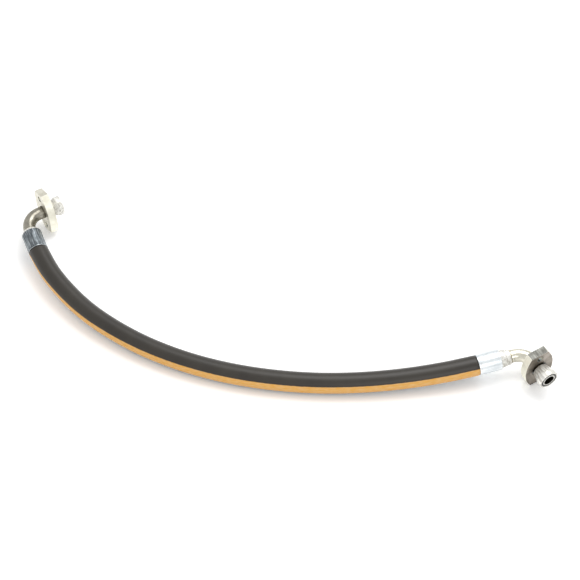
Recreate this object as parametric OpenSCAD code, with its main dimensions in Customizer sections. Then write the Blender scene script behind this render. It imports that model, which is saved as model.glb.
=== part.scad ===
// Hydraulic hose assembly: a bowed two-wire braid hose with a crimped ferrule, a bent
// tube, a sealing head and a loose two-bolt clamp plate at each end.
// Millimetres, +Z up. The hose lies on the plane z = 0, between two upright fittings.

/* [Hose] */
// Bore of the inner rubber liner
hose_bore_d = 19; // [17:0.5:20]
// Outside diameter of the hose
hose_d = 28; // [26.5:0.5:28.5]
// Wall of the inner rubber liner
liner_wall = 1.6; // [1.2:0.1:2]
// Wall of each layer of braided wire
braid_wall = 0.6; // [0.4:0.1:0.8]
// Wall of the rubber layer between the two braids
separator_wall = 0.3; // [0.2:0.1:0.6]

/* [Ferrule] */
// Outside diameter of the ferrule over its lands
ferrule_d = 28.6; // [28.4:0.2:32]
// Length of the ferrule
ferrule_length = 31; // [26:1:40]
// Thickness of the ferrule's inner end lip
ferrule_lip = 2; // [1.5:0.5:3]
// How far the crimp presses the outside of the hose inwards
crimp_squeeze = 1.6; // [1:0.1:1.8]
// Number of flats that the crimping dies leave
crimp_flats = 8; // [6:1:12]
// Depth of each crimped flat
crimp_depth = 0.4; // [0.1:0.1:0.6]
// Length left round at each end of the ferrule
crimp_margin = 3; // [2:0.5:6]
// Chamfer round each end of the ferrule
ferrule_chamfer = 0.3; // [0.1:0.1:0.5]

/* [Insert] */
// Wall of the barbed tail that holds the hose from inside
insert_wall = 1.4; // [1:0.1:1.8]
// Depth of the barbs' grooves
barb_depth = 0.5; // [0.2:0.1:0.6]
// Number of barbs on the tail
barb_count = 5; // [3:1:7]
// Diameter of the neck that the ferrule's lip closes on
neck_d = 21; // [20:0.5:23]
// Diameter of the collar outside the ferrule
collar_d = 24; // [23.5:0.5:28]
// Length of the collar outside the ferrule
collar_length = 4; // [3.5:0.5:8]
// Length over which the left collar tapers to the tube
left_taper = 1; // [0.5:0.5:4]
// Length over which the right collar tapers to the tube
right_taper = 10; // [2:1:12]
// Depth of the socket that the bent tube is brazed into
socket_depth = 2.5; // [1.5:0.5:3]

/* [Bent tube] */
// Outside diameter of the tube
tube_d = 18; // [16:0.5:18.5]
// Wall of the tube
tube_wall = 1.5; // [1:0.25:2]
// Radius of the bend, on the tube's centreline
bend_radius = 25; // [22:1:32]
// Angle of the bend at the left end
left_bend = 82; // [70:1:95]
// Angle of the bend at the right end
right_bend = 75; // [60:1:95]
// Straight tube between collar and bend at the left end
left_lead = 2; // [2:0.5:20]
// Straight tube between collar and bend at the right end
right_lead = 4; // [2:0.5:20]
// Length from the end of the bend to the sealing face
nose_length = 34; // [30:1:50]

/* [Sealing head] */
// Diameter of the head
head_d = 28; // [26:0.5:34]
// Length of the head's round rim
rim_length = 6; // [5:0.5:9]
// Chamfer round the front edge of the rim
rim_chamfer = 0.5; // [0.2:0.1:1]
// Length of the cone behind the left head's rim. The right one reaches back to its plate.
left_cone = 9; // [4:0.5:10]
// Depth of the socket that the tube is brazed into, from the head's back
head_socket = 6; // [4:0.5:8]
// Diameter of the O-ring, measured at the middle of its section
o_ring_d = 20.8; // [20.5:0.1:22]
// Thickness of the O-ring's section
o_ring_section = 2.4; // [1.8:0.1:2.6]
// How far the O-ring stands out of its groove
o_ring_proud = 0.3; // [0.2:0.1:0.5]

/* [Clamp plate] */
// Length of the plate between its two end flats
plate_length = 60; // [56:1:72]
// Width of the plate over its bowed sides
plate_width = 43; // [38:1:48]
// Width of the flat at each end of the plate
end_flat = 25.5; // [20:0.5:30]
// Thickness of the plate
plate_thickness = 11; // [8:0.5:14]
// Distance between the centres of the two bolt holes
bolt_spacing = 42; // [40:1:46]
// Diameter of the bolt holes
bolt_hole_d = 9; // [6.5:0.5:9]
// Depth of the countersink in the front of the plate
countersink = 1.5; // [0.5:0.5:2.5]
// How far the left plate is turned from upright
left_turn = -27; // [-60:1:60]
// How far the right plate is turned from upright
right_turn = 0; // [-60:1:60]

/* [Fits] */
// Gap between the plate's bore and the tube
plate_clearance = 0.3; // [0.1:0.05:0.5]
// Gap between the left plate's front and the braze ring behind the head
left_gap = 0.5; // [0.5:0.1:9]
// Gap between the right plate's front and the braze ring behind the head
right_slack = 0.4; // [0.3:0.1:3]
// Gap between the right plate's back and the end of the bend
right_gap = 0.6; // [0.5:0.1:9]
// Gap between pieces that are crimped, pressed or brazed together
seat_gap = 0.05; // [0.03:0.01:0.08]
// Gap between the hose and the ferrule's mouth, where the crimp fades out
mouth_gap = 0.2; // [0.1:0.05:0.5]
// Size of the braze fillets
fillet = 1.5; // [1:0.1:1.8]

/* [Hidden] */
$fn = 64;

// Where each ferrule's mouth is, the heading of its axis away from the hose, how far
// that axis climbs, and how far the fitting is rolled about it.
left_mouth = [-350.7, -43.2, 28.8];
left_heading = 132;
left_climb = 5;
left_roll = -2.6;
right_mouth = [286.1, -33.3, 24.6];
right_heading = 33;
right_climb = 5;
right_roll = 0;

// The free hose's centreline between the two mouths, chosen by hand.
route = [
    [-319, -72, 25.5], [-283, -95.5, 22.2], [-245, -114.5, 19.7], [-204.5, -128.5, 17.8],
    [-163, -138.5, 16.3], [-120.5, -144.5, 15.1], [-77.5, -146.7, 14.4], [-34.5, -145.3, 14],
    [8, -140.6, 14], [50.5, -132.6, 14], [92, -122, 14.4], [132.5, -108.6, 15.3],
    [172, -92.9, 16.7], [211, -74.9, 18.6], [249, -54.9, 21.1]
];
hose_sides = 12;
// How far before and behind the mouth the crimp's squeeze begins and is complete
mouth_taper = 2;
// How much the bend stands proud of the straight runs, and how far they run into it
bend_swell = 0.1;
bend_overlap = 0.5;
// How far a cut runs past the face that it opens
cut = 1;

hose_bore_r = hose_bore_d / 2;
hose_r = hose_d / 2;
liner_r = hose_bore_r + liner_wall;
inner_braid_r = liner_r + seat_gap + braid_wall;
separator_r = inner_braid_r + seat_gap + separator_wall;
outer_braid_r = separator_r + seat_gap + braid_wall;
squeezed_r = hose_r - crimp_squeeze;

ferrule_r = ferrule_d / 2;
grip_r = squeezed_r + seat_gap;
mouth_r = hose_r - crimp_squeeze / 2 + mouth_gap;
hose_end = ferrule_length - ferrule_lip - seat_gap;

tube_r = tube_d / 2;
tube_bore_r = tube_r - tube_wall;
neck_r = neck_d / 2;
collar_start = ferrule_length + seat_gap;
collar_end = collar_start + collar_length;
socket_floor = collar_end - socket_depth;
// Straight run from the collar's cylinder to the bend
left_run = left_taper + left_lead;
right_run = right_taper + right_lead;
tail_r = hose_bore_r * cos(180 / hose_sides) - seat_gap;
insert_bore_r = tail_r - insert_wall;
tail_start = mouth_taper;
tail_end = ferrule_length - ferrule_lip;
barb_pitch = (tail_end - tail_start) / (barb_count + 1);

head_r = head_d / 2;
left_head_start = nose_length - rim_length - left_cone;
right_head_start = right_gap + plate_thickness + right_slack + fillet;
groove_depth = o_ring_section - o_ring_proud + seat_gap;
plate_bore_r = tube_r + plate_clearance;
left_setback = left_head_start - fillet - left_gap - plate_thickness;
right_setback = right_gap;
side_rise = (plate_width - end_flat) / 2;
side_r = (pow(plate_length / 2, 2) + side_rise * side_rise) / (2 * side_rise);

// Unit vector of a heading in the floor plane and a climb out of it.
function direction(heading, climb) =
    [cos(climb) * cos(heading), cos(climb) * sin(heading), sin(climb)];
function unit(v) = v / norm(v);

left_out = direction(left_heading, left_climb);
right_out = direction(right_heading, right_climb);

// Every ring of the hose: its centre, and 1 where the crimp squeezes it.
centres = concat(
    [left_mouth + hose_end * left_out, left_mouth + mouth_taper * left_out],
    [left_mouth - mouth_taper * left_out],
    route,
    [right_mouth - mouth_taper * right_out],
    [right_mouth + mouth_taper * right_out, right_mouth + hose_end * right_out]
);
last = len(centres) - 1;
function squeezed(i) = (i < 2 || i > last - 2) ? 1 : 0;
function tangent(i) =
    i == 0 ? -left_out :
    i == last ? right_out :
    unit(unit(centres[i + 1] - centres[i]) + unit(centres[i] - centres[i - 1]));
// A layer's radius at a ring: the crimp thins all the layers alike.
squeeze = (squeezed_r - hose_bore_r) / (hose_r - hose_bore_r);
function layer_r(r, i) = squeezed(i) == 0 ? r : hose_bore_r + (r - hose_bore_r) * squeeze;
function ring(i, r) =
    let (t = tangent(i), side = unit(cross([0, 0, 1], t)), above = cross(t, side))
    [for (k = [0 : hose_sides - 1])
        centres[i] + layer_r(r, i) * (cos(360 * k / hose_sides) * above + sin(360 * k / hose_sides) * side)];

// One layer of the hose between two radii, swept along the whole centreline.
module hose_layer(inner_r, outer_r) {
    n = hose_sides;
    rings = last + 1;
    outer = [for (i = [0 : last]) each ring(i, outer_r)];
    inner = [for (i = [0 : last]) each ring(i, inner_r)];
    half = rings * n;
    sides = [for (i = [0 : last - 1], k = [0 : n - 1])
        let (a = i * n + k, b = i * n + (k + 1) % n, c = a + n, d = b + n)
        each [[a, c, b], [b, c, d], [half + a, half + b, half + c], [half + b, half + d, half + c]]];
    caps = [for (k = [0 : n - 1])
        let (a = k, b = (k + 1) % n, c = last * n + k, d = last * n + (k + 1) % n)
        each [[a, b, half + a], [b, half + b, half + a], [c, half + c, d], [d, half + c, half + d]]];
    polyhedron(points = concat(outer, inner), faces = concat(sides, caps), convexity = 6);
}

// Places what is drawn along +X from the ferrule's mouth at an end of the hose.
module at_end(mouth, heading, climb, roll) {
    translate(mouth) rotate([-roll, -climb, heading]) children();
}
module at_left() {
    at_end(left_mouth, left_heading, left_climb, left_roll) children();
}
module at_right() {
    at_end(right_mouth, right_heading, right_climb, right_roll) children();
}

// Places what is drawn along +Z from the end of the bend, with +Y upright.
module at_nose(bend, run) {
    reach = collar_end + run + bend_radius * sin(bend);
    drop = bend_radius * (1 - cos(bend));
    translate([reach, -drop, 0]) rotate([0, 0, -bend]) rotate([90, 0, 90]) children();
}

// Turns a profile of (radius, distance) points about the ferrule's axis.
module turned_along_x(points) {
    rotate([90, 0, 90]) rotate_extrude() polygon(points);
}

module ferrule() {
    crimp_length = ferrule_length - 2 * crimp_margin;
    flat_r = ferrule_r - crimp_depth;
    difference() {
        turned_along_x([
            [mouth_r, 0], [ferrule_r - ferrule_chamfer, 0], [ferrule_r, ferrule_chamfer],
            [ferrule_r, ferrule_length - ferrule_chamfer], [ferrule_r - ferrule_chamfer, ferrule_length],
            [neck_r + seat_gap, ferrule_length],
            [neck_r + seat_gap, ferrule_length - ferrule_lip], [grip_r, ferrule_length - ferrule_lip],
            [grip_r, mouth_taper]
        ]);
        for (k = [0 : crimp_flats - 1])
            rotate([360 * k / crimp_flats, 0, 0])
                translate([crimp_margin, -ferrule_r, flat_r])
                    cube([crimp_length, ferrule_d, ferrule_r]);
    }
}

module hose_insert(taper) {
    barbs = [for (k = [barb_count : -1 : 1])
        let (x = tail_start + k * barb_pitch)
        each [[tail_r, x], [tail_r - barb_depth, x - barb_pitch / 2]]];
    turned_along_x(concat(
        [[insert_bore_r, tail_start], [insert_bore_r, socket_floor], [tube_r + seat_gap, socket_floor],
            [tube_r + seat_gap, collar_end + taper], [tube_r + fillet, collar_end + taper],
            [collar_d / 2, collar_end], [collar_d / 2, collar_start],
            [neck_r, collar_start], [neck_r, tail_end], [tail_r, tail_end]],
        barbs,
        [[tail_r, tail_start]]
    ));
}

// Ring of braze metal in the corner between the collar and the tube.
module insert_braze(taper) {
    taper_end = collar_end + taper;
    turned_along_x([
        [tube_r + seat_gap, taper_end], [tube_r + seat_gap, taper_end + fillet],
        [tube_r + fillet, taper_end]
    ]);
}

// The tube's outside or its bore, from the insert's socket to its seat in the head. The
// bend is a little wider than the straight runs, which end inside it. The bore runs past
// both ends.
module tube_solid(bend, run, seat, r, past = 0) {
    bend_start = collar_end + run;
    translate([bend_start, -bend_radius, 0]) {
        translate([bend_overlap, bend_radius, 0]) rotate([0, -90, 0])
            cylinder(r = r, h = bend_overlap + bend_start - socket_floor + past);
        rotate([0, 0, 90 - bend]) {
            rotate_extrude(angle = bend) translate([bend_radius, 0]) circle(r = r + bend_swell);
            translate([bend_radius, bend_overlap, 0]) rotate([90, 0, 0])
                cylinder(r = r, h = bend_overlap + seat + past);
        }
    }
}

module elbow_tube(bend, run, head_start) {
    seat = head_start + head_socket;
    difference() {
        tube_solid(bend, run, seat, tube_r);
        tube_solid(bend, run, seat, tube_bore_r, cut);
    }
}

// Ring of braze metal in the corner between the tube and the head's cone.
module head_braze(head_start) {
    rotate_extrude() polygon([
        [tube_r + seat_gap, head_start], [tube_r + fillet, head_start],
        [tube_r + seat_gap, head_start - fillet]
    ]);
}

module flange_head(head_start) {
    mouth = nose_length;
    tube_seat = head_start + head_socket;
    groove_inner = (o_ring_d - o_ring_section) / 2 - seat_gap;
    groove_outer = (o_ring_d + o_ring_section) / 2 + seat_gap;
    rotate_extrude() polygon([
        [tube_r + seat_gap, head_start], [tube_r + fillet, head_start], [head_r, mouth - rim_length],
        [head_r, mouth - rim_chamfer], [head_r - rim_chamfer, mouth], [groove_outer, mouth],
        [groove_outer, mouth - groove_depth],
        [groove_inner, mouth - groove_depth], [groove_inner, mouth], [tube_bore_r, mouth],
        [tube_bore_r, tube_seat + seat_gap], [tube_r + seat_gap, tube_seat + seat_gap]
    ]);
}

module o_ring() {
    centre = nose_length + o_ring_proud - o_ring_section / 2;
    translate([0, 0, centre]) rotate_extrude() translate([o_ring_d / 2, 0]) circle(d = o_ring_section);
}

// Plate with bowed sides and flat ends, its long axis along Y, turned about the tube. Its
// back stands a setback beyond the end of the bend.
module clamp_plate(turn, setback) {
    translate([0, 0, setback]) rotate([0, 0, turn]) difference() {
        linear_extrude(plate_thickness) intersection() {
            translate([side_r - plate_width / 2, 0]) circle(r = side_r);
            translate([plate_width / 2 - side_r, 0]) circle(r = side_r);
            square([plate_width, plate_length], center = true);
        }
        translate([0, 0, -cut]) cylinder(r = plate_bore_r, h = plate_thickness + 2 * cut);
        translate([0, 0, plate_thickness - countersink])
            cylinder(r1 = plate_bore_r, r2 = plate_bore_r + countersink + cut, h = countersink + cut);
        for (side = [-1, 1])
            translate([0, side * bolt_spacing / 2, -cut])
                cylinder(d = bolt_hole_d, h = plate_thickness + 2 * cut);
    }
}

module hose_liner() {
    color("dimgray") hose_layer(hose_bore_r, liner_r);
}
module inner_wire_braid() {
    color("goldenrod") hose_layer(liner_r + seat_gap, inner_braid_r);
}
module braid_separator() {
    color("gray") hose_layer(inner_braid_r + seat_gap, separator_r);
}
module outer_wire_braid() {
    color("darkgoldenrod") hose_layer(separator_r + seat_gap, outer_braid_r);
}
module hose_cover() {
    color("#3a3632") hose_layer(outer_braid_r + seat_gap, hose_r);
}

module left_ferrule() {
    color("lightsteelblue") at_left() ferrule();
}
module left_hose_insert() {
    color("silver") at_left() hose_insert(left_taper);
}
module left_insert_braze() {
    color("khaki") at_left() insert_braze(left_taper);
}
module left_elbow_tube() {
    color("lightgray") at_left() elbow_tube(left_bend, left_run, left_head_start);
}
module left_head_braze() {
    color("khaki") at_left() at_nose(left_bend, left_run) head_braze(left_head_start);
}
module left_flange_head() {
    color("gainsboro") at_left() at_nose(left_bend, left_run) flange_head(left_head_start);
}
module left_o_ring() {
    color("black") at_left() at_nose(left_bend, left_run) o_ring();
}
module left_clamp_plate() {
    color("darkgray") at_left() at_nose(left_bend, left_run) clamp_plate(left_turn, left_setback);
}

module right_ferrule() {
    color("lightsteelblue") at_right() ferrule();
}
module right_hose_insert() {
    color("silver") at_right() hose_insert(right_taper);
}
module right_insert_braze() {
    color("khaki") at_right() insert_braze(right_taper);
}
module right_elbow_tube() {
    color("lightgray") at_right() elbow_tube(right_bend, right_run, right_head_start);
}
module right_head_braze() {
    color("khaki") at_right() at_nose(right_bend, right_run) head_braze(right_head_start);
}
module right_flange_head() {
    color("gainsboro") at_right() at_nose(right_bend, right_run) flange_head(right_head_start);
}
module right_o_ring() {
    color("black") at_right() at_nose(right_bend, right_run) o_ring();
}
module right_clamp_plate() {
    color("darkgray") at_right() at_nose(right_bend, right_run) clamp_plate(right_turn, right_setback);
}

hose_liner();
inner_wire_braid();
braid_separator();
outer_wire_braid();
hose_cover();

left_ferrule();
left_hose_insert();
left_insert_braze();
left_elbow_tube();
left_head_braze();
left_flange_head();
left_o_ring();
left_clamp_plate();

right_ferrule();
right_hose_insert();
right_insert_braze();
right_elbow_tube();
right_head_braze();
right_flange_head();
right_o_ring();
right_clamp_plate();
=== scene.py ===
"""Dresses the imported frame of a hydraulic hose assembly: hose, crimped ends and clamp plates."""
import logging
import math
from contextlib import contextmanager
from dataclasses import dataclass, field
from enum import Enum
from functools import partial
from typing import Any, Callable, Iterator, Sequence

import bmesh
import bpy
from mathutils import Matrix, Vector


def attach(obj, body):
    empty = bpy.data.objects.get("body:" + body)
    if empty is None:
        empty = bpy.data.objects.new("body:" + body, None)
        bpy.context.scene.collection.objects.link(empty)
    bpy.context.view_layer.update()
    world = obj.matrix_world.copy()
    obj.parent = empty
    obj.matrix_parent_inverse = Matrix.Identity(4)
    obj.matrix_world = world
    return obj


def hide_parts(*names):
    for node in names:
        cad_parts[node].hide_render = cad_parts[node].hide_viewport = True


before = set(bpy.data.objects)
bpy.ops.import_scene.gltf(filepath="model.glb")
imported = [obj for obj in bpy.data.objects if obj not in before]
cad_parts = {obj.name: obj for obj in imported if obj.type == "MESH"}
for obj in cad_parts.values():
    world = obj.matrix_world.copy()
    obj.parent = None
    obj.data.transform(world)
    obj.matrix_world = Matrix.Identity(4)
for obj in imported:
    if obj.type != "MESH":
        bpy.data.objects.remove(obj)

LOG = logging.getLogger("hose_assembly")
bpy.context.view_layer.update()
MM = 0.001
WELD_REACH = 0.002 * MM
TURNED_SIDES = 96
HEAD_SIDES = 128
Point = tuple[float, float, float]
Profile = list[tuple[float, float]]
Ring = list[bmesh.types.BMVert]


class Side(Enum):
    """The two ends of the hose."""

    LEFT = "left"
    RIGHT = "right"

    def named(self, what: str) -> str:
        """Returns the name that a piece, node or body has at this end."""
        return f"{self.value}_{what}"


class Body(Enum):
    """The rigid bodies of the frame that pieces ride on."""

    HOSE = "hose"
    LEFT_CLAMP = "left_clamp"
    RIGHT_CLAMP = "right_clamp"


# ---------------------------------------------------------------- colours and shader nodes


def hex_colour(text: str) -> tuple[float, float, float, float]:
    """Turns an sRGB hex colour into the linear colour that shaders take.

    Args:
        text: Six hex digits, with or without a leading hash.

    Returns:
        Linear red, green and blue, and an alpha of 1.
    """
    digits = text.lstrip("#")
    channels = [int(digits[i:i + 2], 16) / 255 for i in (0, 2, 4)]
    linear = [c / 12.92 if c <= 0.04045 else ((c + 0.055) / 1.055) ** 2.4 for c in channels]
    return (linear[0], linear[1], linear[2], 1.0)


def add_node(tree: bpy.types.NodeTree, kind: str, inputs: dict[Any, Any] | None = None,
             stops: Sequence[tuple[float, str]] = (), **settings: Any) -> bpy.types.Node:
    """Adds a shader node, sets it and links what leads into it.

    Args:
        tree: The node tree that gets the node.
        kind: The node's type without its ShaderNode prefix.
        inputs: For each input, by name or number, a value, another node's output, or a node,
            which stands for its first output.
        stops: Positions and hex colours of a colour ramp's two ends.
        settings: Properties of the node itself.

    Returns:
        The new node.
    """
    made = tree.nodes.new("ShaderNode" + kind)
    for name, value in settings.items():
        setattr(made, name, value)
    for socket, value in (inputs or {}).items():
        source = value.outputs[0] if isinstance(value, bpy.types.Node) else value
        if isinstance(source, bpy.types.NodeSocket):
            tree.links.new(source, made.inputs[socket])
        else:
            made.inputs[socket].default_value = source
    if stops:
        for element, (position, colour) in zip(made.color_ramp.elements, stops):
            element.position = position
            element.color = hex_colour(colour)
    return made


def new_material(name: str) -> tuple[bpy.types.Material, bpy.types.NodeTree]:
    """Makes an empty node material.

    Args:
        name: The material's name.

    Returns:
        The material and its node tree, with no nodes in it.
    """
    material = bpy.data.materials.new(name)
    material.use_nodes = True
    material.node_tree.nodes.clear()
    return material, material.node_tree


# ---------------------------------------------------------------- finishes


@dataclass(frozen=True)
class Finish:
    """A surface finish that makes its material once.

    Attributes:
        name: The material's name.
    """

    name: str

    def material(self) -> bpy.types.Material:
        """Makes the finish's material at the first call.

        Returns:
            The material.
        """
        found = bpy.data.materials.get(self.name)
        if found:
            return found
        made, tree = new_material(self.name)
        shader = add_node(tree, "BsdfPrincipled", self.surface(tree))
        add_node(tree, "OutputMaterial", {"Surface": shader})
        return made

    def surface(self, tree: bpy.types.NodeTree) -> dict[str, Any]:
        """Adds the finish's own nodes.

        Args:
            tree: The material's node tree.

        Returns:
            What the shader's inputs get, by name.
        """
        raise NotImplementedError


@dataclass(frozen=True)
class CoverRubber(Finish):
    """Extruded synthetic rubber with a printed lay stripe: a satin skin, faintly uneven.

    Attributes:
        black: Colour of the rubber.
        worn: Colour of its greyer patches.
        ink: Colour of the stripe.
        ink_pale: Colour of the stripe where the ink is thin.
        stripe_width: Width of the stripe round the hose, in metres.
        edge_wander: Width of the band that the stripe's edge wanders in, in metres.
        edge_blur: How far the ink fades out on each side of its edge, in metres.
        edge_wave: Length of that edge's waves, in metres.
        ink_spot: Width of the thin spots of the ink, in metres.
        ink_stretch: How much longer than wide the thin spots and the ripples are.
        patch: Size of the worn patches, in metres.
        grain: Size of the skin's grains, in metres.
        ripple: Width of the skin's ripples, in metres.
        grain_height: Height of the grain against that of the ripples.
        roughness: Roughness of the skin.
    """

    name: str = "satin_cover_rubber"
    black: str = "#241f18"
    worn: str = "#2f2a22"
    ink: str = "#e8a942"
    ink_pale: str = "#edbd7b"
    stripe_width: float = 17 * MM
    edge_wander: float = 0.8 * MM
    edge_blur: float = 0.3 * MM
    edge_wave: float = 6.25 * MM
    ink_spot: float = 2.381 * MM
    ink_stretch: float = 4.0
    patch: float = 35.714 * MM
    grain: float = 0.625 * MM
    ripple: float = 11.111 * MM
    grain_height: float = 0.12
    roughness: float = 0.39

    def surface(self, tree: bpy.types.NodeTree) -> dict[str, Any]:
        """Adds the rubber with its stripe, read from the hose's own map in metres.

        Args:
            tree: The material's node tree.

        Returns:
            What the shader's inputs get, by name.
        """
        hose_map = add_node(tree, "UVMap", uv_map="hose_map")
        across = add_node(tree, "SeparateXYZ", {"Vector": hose_map}).outputs["X"]
        place = add_node(tree, "TexCoord").outputs["Object"]

        # The printed edge wanders by about a third of a millimetre.
        wander = add_node(tree, "TexNoise", {"Vector": hose_map, "Scale": 1 / self.edge_wave, "Detail": 2.0})
        shift = add_node(tree, "Math", {0: wander, 1: 0.5}, operation="SUBTRACT")
        offset = add_node(tree, "Math", {0: shift, 1: self.edge_wander, 2: across}, operation="MULTIPLY_ADD")
        distance = add_node(tree, "Math", {0: offset}, operation="ABSOLUTE")
        half = self.stripe_width / 2
        stripe = add_node(tree, "MapRange", {
            "Value": distance, "From Min": half - self.edge_blur, "From Max": half + self.edge_blur,
            "To Min": 1.0, "To Max": 0.0})

        # Thin spots in the ink, stretched along the hose as the print wheel leaves them.
        stretched = add_node(tree, "Mapping", {"Vector": hose_map, "Scale": (1.0, 1 / self.ink_stretch, 1.0)})
        thin = add_node(tree, "TexNoise", {"Vector": stretched, "Scale": 1 / self.ink_spot, "Detail": 4.0})
        ink = add_node(tree, "ValToRGB", {"Fac": thin}, stops=((0.35, self.ink), (0.72, self.ink_pale)))

        patches = add_node(tree, "TexNoise", {"Vector": place, "Scale": 1 / self.patch, "Detail": 5.0,
                                              "Roughness": 0.6})
        rubber = add_node(tree, "ValToRGB", {"Fac": patches}, stops=((0.38, self.black), (0.72, self.worn)))
        colour = add_node(tree, "MixRGB", {"Fac": stripe, "Color1": rubber, "Color2": ink})

        # Skin of the extruded cover: a grain, drawn several times as coarse as real so that it shows,
        # and soft ripples along the hose.
        grain = add_node(tree, "TexNoise", {"Vector": place, "Scale": 1 / self.grain, "Detail": 2.0})
        ripple = add_node(tree, "TexNoise", {"Vector": stretched, "Scale": 1 / self.ripple, "Detail": 1.0})
        height = add_node(tree, "Math", {0: grain, 1: self.grain_height, 2: ripple}, operation="MULTIPLY_ADD")
        bump = add_node(tree, "Bump", {"Height": height, "Strength": 0.25, "Distance": 0.15 * MM})
        rough = add_node(tree, "MapRange", {"Value": patches, "To Min": self.roughness - 0.06,
                                            "To Max": self.roughness + 0.08})
        return {"Base Color": colour, "Roughness": rough, "Normal": bump, "Specular IOR Level": 0.5}


@dataclass(frozen=True)
class PlainRubber(Finish):
    """Plain extruded or moulded rubber: nearly black, with a fine grain.

    Attributes:
        black: Colour of the rubber.
        grey: Colour of its palest grains.
        roughness: Its roughness.
        grain: Size of its grains, in metres, drawn coarser than real so that they show.
        dark_share: Where the grain starts to turn from black to grey, from 0 to 1.
        relief: How strongly the grain stands out, from 0 to 1.
        depth: Depth of the grain, in metres.
    """

    black: str
    grey: str
    roughness: float
    grain: float
    dark_share: float
    relief: float
    depth: float

    def surface(self, tree: bpy.types.NodeTree) -> dict[str, Any]:
        """Adds the rubber's grain.

        Args:
            tree: The material's node tree.

        Returns:
            What the shader's inputs get, by name.
        """
        place = add_node(tree, "TexCoord").outputs["Object"]
        noise = add_node(tree, "TexNoise", {"Vector": place, "Scale": 1 / self.grain, "Detail": 3.0})
        colour = add_node(tree, "ValToRGB", {"Fac": noise},
                          stops=((self.dark_share, self.black), (0.8, self.grey)))
        bump = add_node(tree, "Bump", {"Height": noise, "Strength": self.relief, "Distance": self.depth})
        return {"Base Color": colour, "Roughness": self.roughness, "Normal": bump}


@dataclass(frozen=True)
class BraidWire(Finish):
    """Brass-coated steel wire, braided: crossing strands with dark gaps between them.

    Attributes:
        wire: Colour of the wire.
        gap: Colour between the strands.
        strand: Distance from strand to strand of a real braid, in metres.
        coarser: How much wider than real the strands are drawn, so that they show.
        lay: Angle of the strands to the hose's length, in degrees.
        depth: How far the strands stand out, in metres.
        roughness: Roughness of the wire.
    """

    name: str = "brassed_braid_wire"
    wire: str = "#b99a5e"
    gap: str = "#3b3123"
    strand: float = 3 * MM
    coarser: float = 5.027
    lay: float = 36.0
    depth: float = 0.3 * MM
    roughness: float = 0.35

    def surface(self, tree: bpy.types.NodeTree) -> dict[str, Any]:
        """Adds the braid as two crossing sets of bands on the hose's map.

        Args:
            tree: The material's node tree.

        Returns:
            What the shader's inputs get, by name.
        """
        hose_map = add_node(tree, "UVMap", uv_map="hose_map")
        strands, pitch = [], self.strand * self.coarser
        for lay in (self.lay, -self.lay):
            slanted = add_node(tree, "Mapping", {"Vector": hose_map,
                                                 "Rotation": (0.0, 0.0, math.radians(lay))})
            # A wave texture's bands are a 20th of a full turn in radians apart at a scale of 1.
            bands = add_node(tree, "TexWave", {"Vector": slanted, "Scale": math.tau / 20 / pitch,
                                               "Detail": 0.0}, bands_direction="X")
            strands.append(bands.outputs["Fac"])
        woven = add_node(tree, "Math", {0: strands[0], 1: strands[1]}, operation="MAXIMUM")
        colour = add_node(tree, "ValToRGB", {"Fac": woven}, stops=((0.25, self.gap), (0.7, self.wire)))
        bump = add_node(tree, "Bump", {"Height": woven, "Strength": 0.6, "Distance": self.depth})
        return {"Base Color": colour, "Metallic": 1.0, "Roughness": self.roughness, "Normal": bump}


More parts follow.
